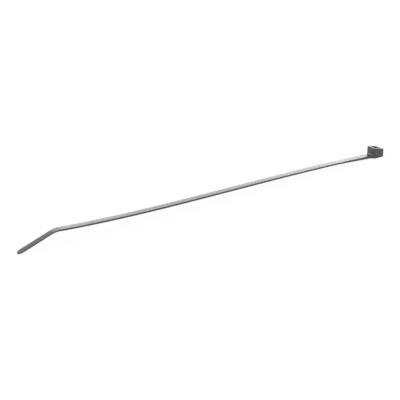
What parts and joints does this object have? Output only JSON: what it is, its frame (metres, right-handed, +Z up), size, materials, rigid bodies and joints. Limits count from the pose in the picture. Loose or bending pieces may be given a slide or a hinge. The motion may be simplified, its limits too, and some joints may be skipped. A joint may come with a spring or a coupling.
{
  "type": "cable tie",
  "caption": "One-piece nylon cable tie: a head with a ratchet pawl in its slot, a strap toothed underneath, and a thin bent tail.",
  "frame": {"origin": "middle of the tie's box at floor level, halfway between the tail's tip and the outer end of the head", "axes": "+X along the tie from its tail to its head, +Y across the strap, +Z up out of the floor and along the head's slot"},
  "size_m": [0.2988, 0.009, 0.0095],
  "materials": {
    "black_nylon": "smooth moulded black nylon with a satin sheen, nearly mirror-like along the flat upper side of the strap"
  },
  "bodies": {
    "root": {"cable_tie": "black_nylon"}
  },
  "joints": []
}
